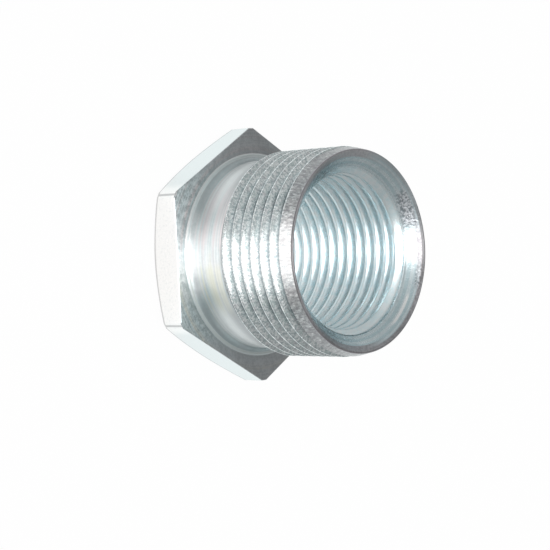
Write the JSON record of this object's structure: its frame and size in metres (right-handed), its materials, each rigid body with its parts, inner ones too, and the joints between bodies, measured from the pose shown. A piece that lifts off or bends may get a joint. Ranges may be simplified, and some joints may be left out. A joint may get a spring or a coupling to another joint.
{
  "type": "thread adapter",
  "caption": "Hexagon-headed steel thread adapter for conduit: male thread outside, smaller female thread right through.",
  "frame": {"origin": "centre of the hexagon head's rear face, on the thread axis", "axes": "+Z along the thread axis from the head towards the spigot's mouth, +X through a corner of the hexagon, +Y through the middle of a flat"},
  "size_m": [0.0312, 0.0274, 0.0208],
  "materials": {
    "zinc_plated_steel": "bright zinc plate over turned steel"
  },
  "bodies": {
    "root": {"adapter_body": "zinc_plated_steel"}
  },
  "joints": []
}
